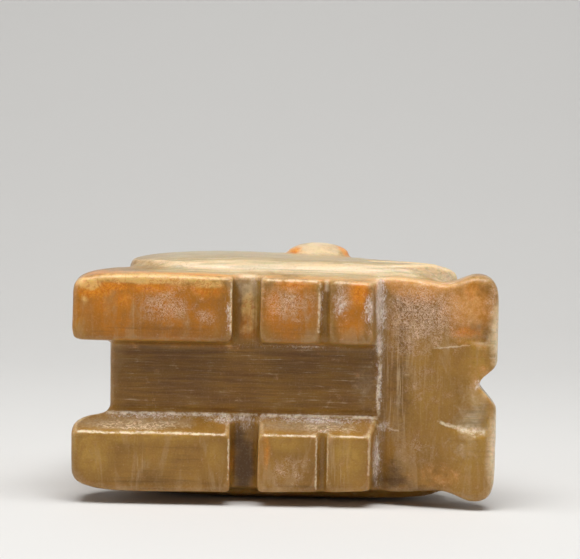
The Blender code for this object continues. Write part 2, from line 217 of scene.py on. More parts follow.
def curve(keys, x):
    """The value at each x of the smooth curve through the keys."""
    at, value = np.array(keys).T
    slope = np.gradient(value, at)
    i = np.clip(np.searchsorted(at, x) - 1, 0, len(at) - 2)
    run = at[i + 1] - at[i]
    t = np.clip((x - at[i]) / run, 0, 1)
    level = value[i] * (1 + 2 * t) * (1 - t) ** 2 + value[i + 1] * t * t * (3 - 2 * t)
    return level + run * (slope[i] * t * (1 - t) ** 2 + slope[i + 1] * t * t * (t - 1))


def wing_path(share, start=-1.0):
    """A line along the wing at a share of its height, from start to 1 along its length."""
    t = np.sin(np.linspace(math.asin(start), math.pi / 2, 40))
    x = WING_MIDDLE + WING_REACH * t
    low, high = curve(WING_LOW, x), curve(WING_HIGH, x)
    full = (1 - np.abs(t) ** WING_BLUNT) ** (1 / WING_BLUNT)
    return list(zip(x, (low + high) / 2 + full * (share - 0.5) * (high - low)))


def carve_wings(surface):
    """The outline, the boss and the long feathers of each wing, and the feathers of the tail."""
    x, y, z = surface.places().T
    flanks = np.abs(z) > 19
    outline = distance_to_path(x, y, wing_path(0) + wing_path(1)[-2::-1])
    boss = np.abs(np.hypot(x - BOSS_AT[0], y - BOSS_AT[1]) - BOSS_RADIUS)
    depth = np.where(flanks, line(np.minimum(outline, boss), 0.9, WING_DEPTH), 0)
    for share in WING_FEATHERS:
        feather = distance_to_path(x, y, wing_path(share, WING_FEATHER_START))
        depth = np.maximum(depth, np.where(flanks, line(feather, 0.8, WING_DEPTH), 0))
    upper = (y > 7) & (np.abs(z) < 24)
    run_in = np.clip((x - TAIL_FEATHER_START) / TAIL_FEATHER_RUN_IN, 0, 1)
    for middle in TAIL_FEATHERS:
        feather = line(z - middle, 0.9, TAIL_DEPTH) * run_in
        depth = np.maximum(depth, np.where(upper, feather, 0))
    incise(surface, depth)


def score_toes(surface):
    """The two shallow scores across the front toe of each foot."""
    x, y, z = surface.places().T
    near = np.min([distance_to_path(x, z, path) for path in TOE_SCORES], axis=0)
    incise(surface, np.where(y < 2, line(near, 0.6, SCORE_DEPTH), 0))


def settle_marks(surface):
    """Stores where the stone is edged and where it is hollow."""
    broad = surface.polished(EVEN)
    stands = ((surface.points - broad) * surface.normals()).sum(axis=1)
    surface.mark("edge", np.clip(stands / WEAR, 0, 1))
    surface.mark("hollow", np.clip(-stands / WEAR, 0, 1))


def brushed(places, strokes):
    """How strongly strokes cover each point: a stroke has a place, its reach each way and a strength."""
    cover = np.zeros(len(places))
    for place, reach, strength in strokes:
        away = (((places - place) / reach) ** 2).sum(axis=1)
        cover = np.maximum(cover, strength * np.exp(-FADE * away))
    return cover


def paint(surface):
    """Stores where the stone is stained, bleached, dark or pale, and where shade and light are painted on it.
    """
    places = surface.places()
    for name, strokes in STROKES.items():
        surface.mark(name, brushed(places, strokes))
    surface.mark("belly", inside(places, BELLY))
    surface.mark("upward", np.clip(surface.normals()[:, 2], 0, 1))
    spot = surface.mesh.attributes.new("spot", "FLOAT_VECTOR", "POINT")
    spot.data.foreach_set("vector", places.astype(np.float32).ravel())


STROKES = {
    "warm": (
        ((-8.8, 6, 14), (3, 4, 7), 0.7), ((43, 2, 19), (8, 5, 8), 0.9), ((34, 4, 22), (10, 4, 3), 0.8),
        ((-31.5, 0, 16.9), (23.4, 3, 8.4), 1.15), ((1.2, 0, 17.5), (8, 3, 8.4), 1.1),
        ((15.3, 0, 17.8), (4.7, 3, 8.4), 1), ((44.5, 3, 19.4), (4.2, 4, 8), 0.7),
        ((31.9, 4, 22.4), (14.1, 4, 2.8), 0.6), ((-4.8, 0, -16.1), (1.6, 3, 8), 0.45),
        ((-11.9, 2, -19.1), (1.2, 4, 7), 0.6), ((43.6, 3, 15.6), (4.2, 4, 3.3), 0.6),
        ((-17.6, 3, 9.1), (21.1, 4, 0.9), 0.5),
    ),
    "honey": (
        ((-7, 6, 20), (3, 3, 7), 1.1), ((46, 2, 4), (4, 4, 14), 0.9), ((47, 2, -10), (3, 4, 12), 0.9),
        ((-47.9, 0, 15.2), (2.1, 3, 5.6), 0.9), ((-45.1, 0, -16.2), (6.1, 3, 7), 0.9),
        ((-31.5, 0, -12.4), (19.7, 3, 2.3), 0.8), ((-16.1, 0, -16.5), (3.7, 3, 6.6), 0.6),
        ((0.3, 0, -13.4), (7, 3, 3.3), 0.7), ((15.3, 0, -15.9), (5.2, 3, 7.5), 0.9),
        ((45.5, 3, 8.6), (5.2, 4, 8.9), 1), ((44.5, 3, -14), (6.1, 4, 11.2), 1),
        ((38, 4, -3), (11.7, 4, 15), 0.65), ((36.6, 4, 8.8), (8.4, 4, 7), 0.35),
        ((36.6, 4, 23.9), (14.1, 4, 1.9), 0.9), ((-31.5, 0, -16.8), (14.1, 3, 5.6), 0.35),
        ((-1.1, 0, -19.5), (5.6, 3, 4.7), 0.3), ((31.9, 5, -12.7), (7, 4, 9.4), 0.3),
    ),
    "orange": (
        ((1.2, 29, 30), (2.6, 3.5, 3), 0.9), ((14.6, 33, 30), (2.6, 6, 3), 1.0),
        ((-20, 3, 26), (26, 1.8, 1.8), 0.7),
        ((-44, 5, 25), (6, 7, 2.5), 0.6), ((8, 5, 27.5), (30, 2, 1.6), 0.6), ((-28, 57, 6), (8, 5, 12), 0.6),
        ((30, 30, -10), (12, 8, 10), 0.6), ((-47, 12, -18), (6, 6, 7), 0.6), ((-10, 55, -8), (12, 6, 7), 0.4),
        ((-45.1, 0, 21.8), (5.2, 3, 2.4), 0.85), ((-40.4, 0, 22.8), (6.1, 3, 1.4), 0.95),
        ((-31.5, 0, 22.7), (8, 3, 1.9), 0.75), ((-18.7, 0, 22.3), (6.1, 3, 2.3), 0.6),
        ((1.7, 0, 23.6), (7, 3, 2.1), 0.6), ((16.9, 0, 22.5), (2.8, 3, 3.7), 0.9),
        ((43.6, 3, 23.6), (3.3, 4, 3.3), 0.7), ((42.7, 3, 13.7), (4.2, 4, 1.6), 0.9),
        ((-12.1, 2, -19.1), (0.7, 4, 6.1), 0.8), ((-24.7, 5, 8.4), (21.1, 4, 0.9), 0.35),
        ((36.6, 4, -20.4), (9.4, 4, 1.4), 0.12), ((-3, 0, 19.3), (2.8, 3, 5.6), 0.5),
        ((15.3, 0, 14.7), (4.7, 3, 3.3), 0.35), ((-38.1, 0, 19.6), (3.3, 3, 3.3), 0.55),
        ((-43.3, 0, 18.5), (3.7, 3, 4.2), 0.4), ((18.7, 6, 2.5), (4.2, 4, 1.9), 0.2),
        ((6, 4, 9.4), (14.1, 4, 0.9), 0.3), ((-3.9, 0, -16.1), (0.9, 3, 7), 0.4),
        ((46.4, 2, -17.1), (2.3, 4, 6.1), 0.2),
    ),
    "yellow": (
        # The first three strokes make the upper foot's upper edge band yellow: a stain, and a painted
        # highlight along that edge.
        ((-46.1, 0, 23.4), (3.8, 3, 2.0), 1.05), ((-18.4, 0, 23.7), (4.2, 3, 1.4), 0.9),
        ((-31, 0, 24.9), (18, 3, 1.7), 1.1), ((-47, 0, 19.4), (1.4, 3, 3.3), 0.5),
        ((29.5, 4, 24.2), (5.2, 4, 1.4), 0.5), ((44.5, 2, 22.8), (1.4, 4, 1.9), 0.6),
        # Painted light: this stroke lightens the upper toe gap's floor, over its honey stone.
        ((-8.6, 6, 17), (3.2, 3, 7), 0.7),
    ),
    "bleach": (
        ((22, 5, 19.5), (1.9, 4, 9.4), 1.3), ((22.3, 5, 10), (1.4, 4, 4.2), 1.1),
        ((22.3, 6, 0), (0.9, 4, 8.4), 0.95), ((23.4, 5, -9.8), (2.3, 4, 1.9), 0.9),
        ((22, 5, -17.6), (1.4, 4, 8.4), 1), ((12.6, 0, 19.8), (2.1, 3, 5.2), 0.65),
        ((-13.3, 0, 16.8), (0.9, 3, 5.6), 0.8), ((8.3, 0, 19.1), (0.6, 3, 7), 0.7),
        ((19.4, 0, 18.6), (1.7, 3, 4.7), 0.9), ((25.3, 5, 20.3), (2.8, 4, 4.7), 0.4),
        ((45.4, 2, 1.2), (1.4, 4, 1.4), 1.1), ((-31.8, 5, -8.3), (14.1, 4, 1.0), 0.65),
        ((-11.5, 5, -8.8), (8, 4, 1.3), 0.85), ((8.3, 5, -8.6), (13.1, 4, 1.1), 0.8),
        ((-9.4, 4, -10.3), (2.8, 4, 1.9), 0.9),
        ((3.6, 5, 8.8), (14.5, 4, 0.8), 0.6), ((-7.7, 3, 24.3), (3.7, 4, 2.3), 0.7),
        ((-20, 6, -8), (28.1, 4, 0.6), 0.55),
        ((48.2, 2, 21), (1.2, 4, 6.1), 0.5),
    ),
    "speck": (
        ((-28, 0, 18.6), (7, 3, 4.2), 0.8), ((-18.9, 0, 16.2), (2.8, 3, 1.9), 0.8),
        ((0.3, 0, 19.8), (6.6, 3, 4.7), 0.8), ((34.5, 5, 17.5), (12.5, 5, 8), 1.35),
        ((1.2, 0, -20), (5.6, 3, 4.2), 0.5), ((47.5, 2, 21), (1.9, 4, 5.6), 0.6),
        ((36.7, 5, 0.4), (10.3, 4, 10.3), 0.4), ((13, 0, 20.6), (2.8, 3, 5.2), 0.7),
        ((31.9, 5, -15), (7, 4, 4.7), 0.4), ((29.6, 5, 9.7), (7, 4, 3.7), 0.7),
    ),
    # Dark stain spots, and painted shade: in the deep toe gaps, under the upper foot and along the lower part
    # of each face.
    "dark": (
        ((-9.3, 6, -20), (3.4, 3, 8), 1.1), ((-10.5, 6, -14), (2.4, 3, 5), 0.8),
        ((-30, 0, -23.2), (19, 2, 1.8), 0.5),
        ((-10.8, 3, 19.3), (0.6, 4, 2.6), 1.1), ((-28.3, 5, 7.4), (14.5, 4, 1.6), 0.5),
        ((10.7, 6, 7.1), (11.7, 4, 1.6), 0.35), ((-8.2, 3, -19.2), (1.9, 4, 8), 1.15),
        ((9.4, 0, 18.1), (0.5, 3, 6.6), 0.5), ((9.2, 0, -18.2), (0.5, 3, 6.1), 0.45),
        ((34.2, 4, -24.7), (14.1, 4, 1.9), 0.6), ((26.3, 5, -20.8), (3.7, 4, 5.2), 0.6),
        ((-28, 0, 13), (19.7, 3, 2.4), 0.45), ((8.3, 0, 13), (12, 3, 2.4), 0.42),
        ((-24, 0, -17.5), (7, 4, 6), 0.42), ((-30, 0, -21.5), (16, 4, 2.2), 0.4),
        ((-8.2, 3, -13.1), (2.1, 4, 1.9), 0.7), ((-28, 0, -22.4), (14.1, 3, 2.1), 0.35),
        ((27.2, 5, 13.2), (2.8, 4, 3.3), 0.5), ((6, 1, -23.7), (13, 4, 1.5), 0.5),
        ((25, 4, -22.6), (7, 5, 2.6), 0.85), ((27.5, 5, 3), (3.6, 5, 26), 0.52),
    ),
    "scribble": (
        ((-34, 3, -10.3), (13.1, 4, 1.3), 1.0), ((10.7, 3, -10.2), (9.4, 4, 1.2), 0.8),
        ((2.6, 0, 15.7), (2.8, 3, 0.7), 0.6), ((23.4, 4, -9.6), (2.3, 4, 1.9), 0.7),
        ((34.3, 5, 12), (10.3, 4, 8), 0.5),
    ),
    "sawn": (
        ((-6.8, 3, 17.5), (1.9, 4, 7.5), 1.1), ((26.8, 6, 2.4), (4.2, 4, 15.5), 0.8),
        ((13, 0, -17.4), (2.3, 3, 6.1), 0.6), ((-34.4, 0, 16.8), (1.9, 3, 5.2), 0.35),
        ((-34.4, 0, -19), (2.1, 3, 5.6), 0.5), ((-8.2, 3, -18.3), (2.3, 4, 7.5), 0.3),
        ((34.3, 5, 1.5), (5.6, 4, 9.4), 0.4),
    ),
    "ashen": (
        ((-36, 3, -9.8), (19, 4, 2.2), 1.1), ((5, 3, -9.8), (17, 4, 2.0), 1.0),
        ((19, 6, 0), (5, 4, 9), 0.7),
    ),
    "blush": (
        ((30, 4, 24), (14, 5, 3.4), 1.1), ((43, 2, 20), (7, 4, 6), 0.95), ((43, 2, 13), (6, 4, 3), 0.5),
        ((-20, 3, 26), (34, 4, 1.8), 0.9), ((8, 3, 26), (16, 4, 1.8), 0.8), ((-46, 2, 24), (5, 4, 2), 0.7),
        ((38, 3, -21), (12, 4, 3), 0.45), ((2, 0, 23.5), (7, 2, 2.2), 0.45),
        ((-22, 0, 23.6), (12, 2, 1.6), 0.4),
        ((46, 2, 4), (4, 4, 8), 0.45), ((20, 30, 22), (16, 9, 6), 0.5), ((-32, 20, -26), (10, 12, 5), 0.5),
    ),
    "plain": (
        ((7.6, 33, 31), (10, 10, 4), 1.3), ((7.6, 33, -31), (10, 10, 4), 1.3),
        ((-8.8, 6, 22), (5, 5, 5), 1.1),
    ),
    "cream": (
        ((-10, 18, 30), (36, 24, 6.5), 1.2), ((24, 18, 29), (20, 18, 6.5), 1.2),
        # The strokes at x near 49.6 and near -50.3 brighten the tail's rim and the toe ends: pale stone, with
        # painted rim light.
        ((49.7, 4, 13), (3.0, 6, 11), 1.25),
        ((49.7, 4, -13), (3.0, 6, 12), 1.2), ((8, 33, 32), (6, 6, 3), 1.0),
        ((20, 8, 27), (28, 7, 3.4), 1.3),
        ((-20, 8, 28), (24, 6, 3.6), 1.3), ((38, 17, 27), (7, 9, 6), 1.3),
        # This stroke and the first on the next line lighten the upper toe gap: pale stone at its upper end,
        # and painted light in the gap.
        ((-8.8, 6, 22), (4.5, 4, 4.5), 0.55),
        ((-9, 6, 25.5), (4, 4, 2.2), 0.8), ((49.6, 4, 0), (1.6, 5, 22), 0.6), ((45, 3, -7), (7, 5, 15), 0.6),
        ((-30, 5, 27), (16, 5, 2.5), 0.9),
        # Painted rim light on the toe ends.
        ((-50.3, 2, 16), (0.9, 6, 8), 0.5), ((-50.3, 2, -16), (0.9, 6, 8), 0.5),
        ((14, 44, 14), (26, 8, 9), 0.4),
        ((38, 14, 14), (12, 5, 10), 0.6), ((-30, 53, 15), (8, 8, 5), 0.5),
        ((-24, 30, -26), (14, 12, 5), 0.4),
    ),
}

# Fine pale lines on the soles and edges, partly rubbed pale and partly painted highlights along edges and on
# the lit lower facet of the tail's gouge: a path in X and Z, its height, half its width, and how strong it is
CHALK_AND_GLINT = (
    (((-48.2, -11.5), (-40.9, -11.7), (-31.5, -11.5), (-22.2, -11.6), (-14, -11.8)), 0.2, 0.20, 0.9),
    (((-12.95, -12.8), (-12.95, -22.3)), 0, 0.16, 0.7),
    (((-4.4, -11.6), (7.4, -11.7)), 0.2, 0.18, 0.8),
    (((7.75, -12.2), (7.75, -24.3)), 0, 0.16, 0.7),
    (((12, -11.7), (18.6, -11.7)), 0.2, 0.16, 0.7),
    (((10.35, -11.6), (10.35, -23.5)), 0, 0.14, 0.4),
    (((20.2, -10.7), (20.2, -20.5)), 0.4, 0.3, 0.6),
    (((-12.9, 24), (-12.9, 12.1)), 0, 0.18, 0.9),
    (((7.75, 24.2), (7.75, 13)), 0, 0.26, 0.8),
    (((9.4, 25.6), (9.4, 22.8)), 1.4, 0.4, 0.5),
    (((-4.4, 24.9), (6.9, 24.9)), 0, 0.26, 0.5),
    (((11, 24.9), (18.6, 24.6)), 0, 0.26, 0.45),
    (((-41.8, -7.8), (-8.2, -7.8), (22, -7.9)), 6, 0.28, 0.55),
    (((22.1, -9.9), (27, -10.8)), 5.4, 0.16, 0.5),
    (((34.9, 9.4), (43.4, 10.5)), 1.4, 0.16, 0.6),
    (((22.2, 25.6), (31.9, 25.2), (42.7, 24.6)), 3.4, 0.26, 0.6),
    (((22.2, 10.6), (22.5, 3.1), (22.0, -3.6), (22.4, -7.3)), 5.8, 0.3, 0.6),
    (((47.8, 7.6), (49.6, 7.7)), 1, 0.16, 0.4),
    (((36.4, -7.9), (40, -9.0), (45.0, -10.9)), 1.4, 0.34, 0.9),
    (((41.0, -9.2), (45.2, -10.4)), 1.2, 0.60, 0.8),
    (((43.2, -9.4), (46.6, -9.9)), 0.9, 0.70, 0.75),
)


# The stone's material

class Nodes:
    """A few short words for building a material."""

    def __init__(self, name):
        self.material = bpy.data.materials.new(name)
        self.material.use_nodes = True
        self.tree = self.material.node_tree
        self.shader = self.tree.nodes["Principled BSDF"]

    def add(self, kind, inputs=(), **settings):
        """A node with its settings and its inputs, each a value or another node's output."""
        node = self.tree.nodes.new(kind)
        for name, value in settings.items():
            setattr(node, name, value)
        for key, value in dict(inputs).items():
            self.put(node.inputs[key], value)
        return node

    def put(self, socket, value):
        """Sets a socket, or links it."""
        if isinstance(value, bpy.types.NodeSocket):
            self.tree.links.new(value, socket)
        else:
            socket.default_value = value

    def stretched(self, where, scale, move=(0, 0, 0)):
        """Coordinates made longer or shorter along each axis."""
        return self.add("ShaderNodeMapping", {"Vector": where, "Scale": scale, "Location": move}).outputs[0]

    def noise(self, where, scale, detail=4.0, rough=0.5, swirl=0.0):
        """Cloudy noise about one half."""
        inputs = {"Vector": where, "Scale": scale, "Detail": detail, "Roughness": rough, "Distortion": swirl}
        return self.add("ShaderNodeTexNoise", inputs).outputs["Fac"]

    def mask(self, value, low, high):
        """0 below low, 1 above high, smooth between."""
        settings = {"interpolation_type": "SMOOTHSTEP"}
        inputs = {"Value": value, "From Min": low, "From Max": high}
        return self.add("ShaderNodeMapRange", inputs, **settings).outputs["Result"]

    def sum(self, first, second, share=1.0):
        """First plus a share of second."""
        inputs = {0: second, 1: share, 2: first}
        return self.add("ShaderNodeMath", inputs, operation="MULTIPLY_ADD").outputs[0]

    def product(self, first, second):
        """First times second."""
        return self.add("ShaderNodeMath", {0: first, 1: second}, operation="MULTIPLY").outputs[0]

    def from_half(self, value):
        """How far a value is from one half."""
        return self.add("ShaderNodeMath", {0: self.sum(value, -0.5)}, operation="ABSOLUTE").outputs[0]

    def mix(self, share, first, second):
        """The first colour with a share of the second."""
        node = self.add("ShaderNodeMix", data_type="RGBA")
        for key, value in (("Factor_Float", share), ("A_Color", first), ("B_Color", second)):
            socket = next(s for s in node.inputs if s.identifier == key)
            self.put(socket, (*value, 1) if isinstance(value, tuple) else value)
        return next(s for s in node.outputs if s.identifier == "Result_Color")

    def vector(self, operation, first, second):
        """A vector made of two, or of one and a number."""
        key = "Scale" if operation == "SCALE" else 1
        return self.add("ShaderNodeVectorMath", {0: first, key: second}, operation=operation)

    def marked(self, name, output="Fac"):
        """A value that the surface carries at each point."""
        return self.add("ShaderNodeAttribute", attribute_name=name).outputs[output]

    def reach(self, where, start, end):
        """How far a place is from a straight stretch."""
        start, end = Vector(start), Vector(end)
        run = end - start
        near = self.vector("SUBTRACT", where, tuple(start)).outputs[0]
        share = self.vector("DOT_PRODUCT", near, tuple(run / run.length_squared)).outputs["Value"]
        share = self.add("ShaderNodeMath", {0: share, 1: 1.0}, operation="MULTIPLY", use_clamp=True)
        foot = self.vector("SCALE", tuple(run), share.outputs[0]).outputs[0]
        return self.vector("DISTANCE", near, foot).outputs["Value"]

    def larger(self, first, second):
        """The larger of two values."""
        return self.add("ShaderNodeMath", {0: first, 1: second}, operation="MAXIMUM").outputs[0]


CHALK_AND_GLINT_STRAY = 0.8       # how far the pale lines stray
CHALK_AND_GLINT_HEIGHT = 0.2      # how much a line's height counts in the distance to it


def chalk_and_glint_lines(n):
    """The fine pale lines, rubbed pale and painted highlights, as a value from 0 to 1."""
    ragged = n.add("ShaderNodeTexNoise", {"Vector": n.spot, "Scale": 0.9, "Detail": 4.0}).outputs["Color"]
    stray = n.vector("SUBTRACT", ragged, (0.5, 0.5, 0.5)).outputs[0]
    stray = n.vector("MULTIPLY", stray, (CHALK_AND_GLINT_STRAY, 0, CHALK_AND_GLINT_STRAY)).outputs[0]
    where = n.vector("ADD", n.spot, stray).outputs[0]
    where = n.vector("MULTIPLY", where, (1, CHALK_AND_GLINT_HEIGHT, 1)).outputs[0]
    total = None
    for path, y, half, strength in CHALK_AND_GLINT:
        for (x0, z0), (x1, z1) in zip(path, path[1:]):
            away = n.reach(where, (x0, CHALK_AND_GLINT_HEIGHT * y, z0), (x1, CHALK_AND_GLINT_HEIGHT * y, z1))
            drawn = n.product(n.mask(away, half * 1.9, half * 0.3), strength)
            total = drawn if total is None else n.larger(total, drawn)
    return total


# Colours of the stone, and of the shade and highlights painted on it, as shares of red, green and blue
OLIVE, HONEY, MOSS = (0.25, 0.118, 0.014), (0.36, 0.180, 0.028), (0.19, 0.085, 0.012)
GOLD, DEEP_GOLD = (0.47, 0.265, 0.045), (0.38, 0.195, 0.028)
AMBER, UMBER = (0.57, 0.190, 0.004), (0.39, 0.145, 0.008)
BARK, MILKY, TAWNY = (0.15, 0.06, 0.012), (0.44, 0.27, 0.115), (0.27, 0.125, 0.022)
FLOOR_BROWN, FLOOR_DARK = (0.30, 0.145, 0.014), (0.145, 0.052, 0.003)
SCORE_TAN, SCORE_PALE = (0.30, 0.17, 0.06), (0.58, 0.42, 0.25)
ASH, DEEP_ASH = (0.42, 0.30, 0.175), (0.30, 0.20, 0.11)
CREAM, CREAM_THREAD, IVORY = (0.78, 0.59, 0.36), (0.55, 0.45, 0.27), (0.86, 0.75, 0.58)
DULL_SHADED_CREAM, DULL_SHADED_THREAD, CREAM_CLOUD = (0.43, 0.31, 0.15), (0.32, 0.24, 0.11), (0.54, 0.47, 0.29)
PEACH, DEEP_PEACH = (0.78, 0.40, 0.12), (0.66, 0.28, 0.05)
ORANGE, DEEP_ORANGE = (0.82, 0.32, 0.012), (0.72, 0.215, 0.004)
YELLOW, SEAM = (0.86, 0.57, 0.19), (0.50, 0.110, 0.002)
# SHADE and the hollows' colour beside it are painted shade.
SHADE, HOLLOW_SHADE = (0.085, 0.034, 0.001), (0.19, 0.095, 0.04)
ETCHED, SPECK, PORE = (0.50, 0.27, 0.15), (0.88, 0.64, 0.46), (0.20, 0.07, 0.02)
SAW_PALE, SAW_DARK = (0.74, 0.54, 0.32), (0.18, 0.09, 0.03)
CRAZING, CHALKY_GLINT, RUBBED_PALE_AND_GLINT = (0.86, 0.66, 0.44), (0.95, 0.80, 0.58), (0.90, 0.70, 0.42)
LIME, PALE_LIME = (0.56, 0.43, 0.35), (0.93, 0.82, 0.74)
LIGHT_FLECK, DARK_FLECK = (1.0, 0.80, 0.5), (0.05, 0.02, 0.005)


class JadeNodes(Nodes):
    """The patterns that the stone's colour, shine and relief share."""

    def __init__(self):
        super().__init__("weathered_jade")
        self.spot = self.marked("spot", "Vector")
        along = self.stretched(self.spot, (0.05, 1.0, 1.0))
        across = self.stretched(self.spot, (1.0, 1.0, 0.04))
        self.cloud = self.noise(self.spot, 0.08, 3)
        self.mottle = self.noise(self.spot, 0.42, 6, 0.62, 0.3)
        self.grain = self.noise(self.spot, 1.5, 4, 0.65)
        self.fuzz = self.noise(self.stretched(self.spot, (1.0, 1.0, 0.5)), 1.7, 6, 0.75, 1.2)
        self.fibre = self.noise(along, 1.1, 8, 0.68, 0.4)
        self.strand = self.noise(along, 2.4, 5, 0.65)
        self.stripe = self.noise(across, 1.9, 5, 0.65)
        self.upward = self.marked("upward")
        self.sawn, self.belly = self.marked("sawn"), self.marked("belly")
        self.etched = self.mask(self.sum(self.marked("speck"), self.mottle, 1.4), 0.75, 1.75)
        worm = self.from_half(self.noise(self.spot, 1.25, 3, 0.6, 1.5))
        self.speck = self.product(self.etched, self.mask(worm, 0.07, 0.02))
        self.pores = self.product(self.etched, self.mask(self.grain, 0.44, 0.34))
        frost = self.sum(self.sum(self.marked("bleach"), self.fuzz, 2.4), self.mottle, 0.6)
        self.bleached = self.mask(frost, 1.80, 2.60)


def clear_stone(n):
    """Clouded olive to honey, golden or warmer in places, with milky and tawny drifts."""
    colour = n.mix(n.mask(n.cloud, 0.36, 0.64), OLIVE, HONEY)
    colour = n.mix(n.product(n.mask(n.mottle, 0.45, 0.7), 0.3), colour, MOSS)
    golden = n.mask(n.sum(n.marked("honey"), n.mottle, 0.5), 0.30, 1.05)
    colour = n.mix(golden, colour, n.mix(n.mask(n.mottle, 0.35, 0.65), GOLD, DEEP_GOLD))
    warm = n.mask(n.sum(n.marked("warm"), n.mottle, 0.4), 0.35, 0.95)
    brown = n.mix(n.mask(n.sum(n.mottle, n.cloud), 0.60, 1.25), AMBER, UMBER)
    colour = n.mix(n.product(warm, 0.95), colour, brown)
    colour = n.mix(n.product(n.mask(n.fibre, 0.5, 0.72), 0.2), colour, BARK)
    drift = n.noise(n.stretched(n.spot, (0.24, 0.24, 0.07), (5, 2, 9)), 1.0, 4, 0.6, 0.6)
    colour = n.mix(n.product(n.mask(drift, 0.50, 0.66), 0.5), colour, MILKY)
    return n.mix(n.product(n.mask(drift, 0.50, 0.34), 0.4), colour, TAWNY)


def scored_floor(n, colour):
    """The brown floor of the channel with its pale scores, and the ashen slope beside it."""
    brown = n.mix(n.mask(n.sum(n.fibre, n.cloud, 0.6), 0.56, 1.02), FLOOR_BROWN, FLOOR_DARK)
    colour = n.mix(n.product(n.belly, 0.9), colour, brown)
    scored = n.product(n.belly, n.mask(n.strand, 0.50, 0.64))
    colour = n.mix(n.product(scored, 0.4), colour, SCORE_TAN)
    scored = n.product(n.belly, n.mask(n.sum(n.strand, n.mottle, 0.5), 0.84, 1.02))
    colour = n.mix(n.product(scored, 0.6), colour, SCORE_PALE)
    ashen = n.mask(n.sum(n.marked("ashen"), n.mottle, 0.8), 0.70, 1.40)
    return n.mix(n.product(ashen, 0.7), colour, n.mix(n.mask(n.grain, 0.4, 0.6), ASH, DEEP_ASH))


def cream_skin(n, colour):
    """The pale skin of the wing and the tail's rim, with painted rim light on that rim and the toe ends, in
    threads but where it is plain, and duller where it faces up: greyer skin with painted shade against the
    light from above.
    """
    plain = n.marked("plain")
    threads = n.product(n.mask(n.fibre, 0.44, 0.64), n.sum(1.0, plain, -0.8))
    pale = n.mix(threads, CREAM, CREAM_THREAD)
    # Painted shade: the skin darker and greyer where it faces up, against the light from above.
    shaded_top = n.product(n.mask(n.upward, 0.90, 0.985), n.mask(n.sum(plain, -1.0), 0.0, -1.0))
    pale = n.mix(n.product(shaded_top, 0.88), pale, n.mix(threads, DULL_SHADED_CREAM, DULL_SHADED_THREAD))
    pale = n.mix(n.product(n.mask(n.strand, 0.52, 0.66), n.sum(0.55, plain, -0.6)), pale, IVORY)
    pale = n.mix(n.product(n.mask(n.cloud, 0.5, 0.7), 0.4), pale, CREAM_CLOUD)
    cream = n.sum(n.sum(n.marked("cream"), n.mottle, 0.7), n.cloud, 0.5)
    return n.mix(n.mask(cream, 0.80, 1.40), colour, pale)


def stains(n, colour):
    """Peach, orange and yellow weathering, with dark seams in it."""
    blush = n.mask(n.sum(n.marked("blush"), n.mottle, 1.1), 0.65, 1.40)
    colour = n.mix(n.product(blush, 0.85), colour, n.mix(n.mask(n.grain, 0.38, 0.62), PEACH, DEEP_PEACH))
    orange = n.marked("orange")
    stain = n.mask(n.sum(orange, n.mottle), 0.60, 1.30)
    colour = n.mix(n.product(stain, 0.88), colour, n.mix(n.mask(n.grain, 0.35, 0.65), ORANGE, DEEP_ORANGE))
    sallow = n.mask(n.sum(n.marked("yellow"), n.mottle, 1.1), 0.85, 1.30)
    colour = n.mix(n.product(sallow, 0.7), colour, YELLOW)
    seam = n.from_half(n.noise(n.spot, 0.30, 5, 0.6, 0.5))
    seams = n.product(n.mask(n.larger(orange, sallow), 0.2, 0.7), n.mask(seam, 0.03, 0.0))
    return n.mix(n.product(seams, 0.55), colour, SEAM)


def dark_stains_and_shade(n, colour):
    """Dark stain spots, and painted shade: in deep cuts, under the upper foot, along the lower part of each
    face and in hollows.
    """
    dark = n.mask(n.sum(n.marked("dark"), n.fibre, 0.8), 0.6, 1.25)
    colour = n.mix(n.product(dark, 0.9), colour, SHADE)
    # Painted shade: the hollows darkened.
    hollow = n.mask(n.sum(n.marked("hollow"), n.fuzz, 0.6), 0.7, 1.3)
    return n.mix(n.product(hollow, 0.2), colour, HOLLOW_SHADE)


def etched_patches(n, colour):
    """Patches etched dull, with pale specks and dark pores."""
    colour = n.mix(n.product(n.etched, 0.2), colour, ETCHED)
    colour = n.mix(n.product(n.speck, 0.75), colour, SPECK)
    return n.mix(n.product(n.pores, 0.6), colour, PORE)


def saw_marks(n, colour):
    """Pale and dark stripes that the saw left in the gaps, across the tail and on the toes."""
    stripes = n.product(n.sawn, n.mask(n.stripe, 0.50, 0.64))
    colour = n.mix(n.product(stripes, 0.6), colour, SAW_PALE)
    cuts = n.product(n.sawn, n.mask(n.stripe, 0.46, 0.36))
    return n.mix(n.product(cuts, 0.4), colour, SAW_DARK)


def bleaching(n, colour):
    """Fine crazing, limy patches in the grooves, and the pale lines on edges: rubbed pale, and painted
    highlights.
    """
    crazed = n.mask(n.sum(n.marked("scribble"), n.mottle, 0.9), 0.65, 1.25)
    vein = n.from_half(n.noise(n.stretched(n.spot, (0.45, 1.0, 1.0)), 1.0, 5, 0.6, 1.0))
    crazing = n.product(crazed, n.mask(vein, 0.05, 0.01))
    colour = n.mix(n.product(crazing, 0.75), colour, CRAZING)
    lime = n.mix(n.mask(n.fuzz, 0.4, 0.62), LIME, PALE_LIME)
    colour = n.mix(n.product(n.bleached, 0.85), colour, lime)
    # Painted highlights along edges and on the gouge's lit facet, with pale rubbing.
    chalk_and_glint = n.product(chalk_and_glint_lines(n), n.mask(n.sum(n.mottle, n.grain, 0.6), 0.62, 0.88))
    return n.mix(n.product(chalk_and_glint, 0.8), colour, CHALKY_GLINT)


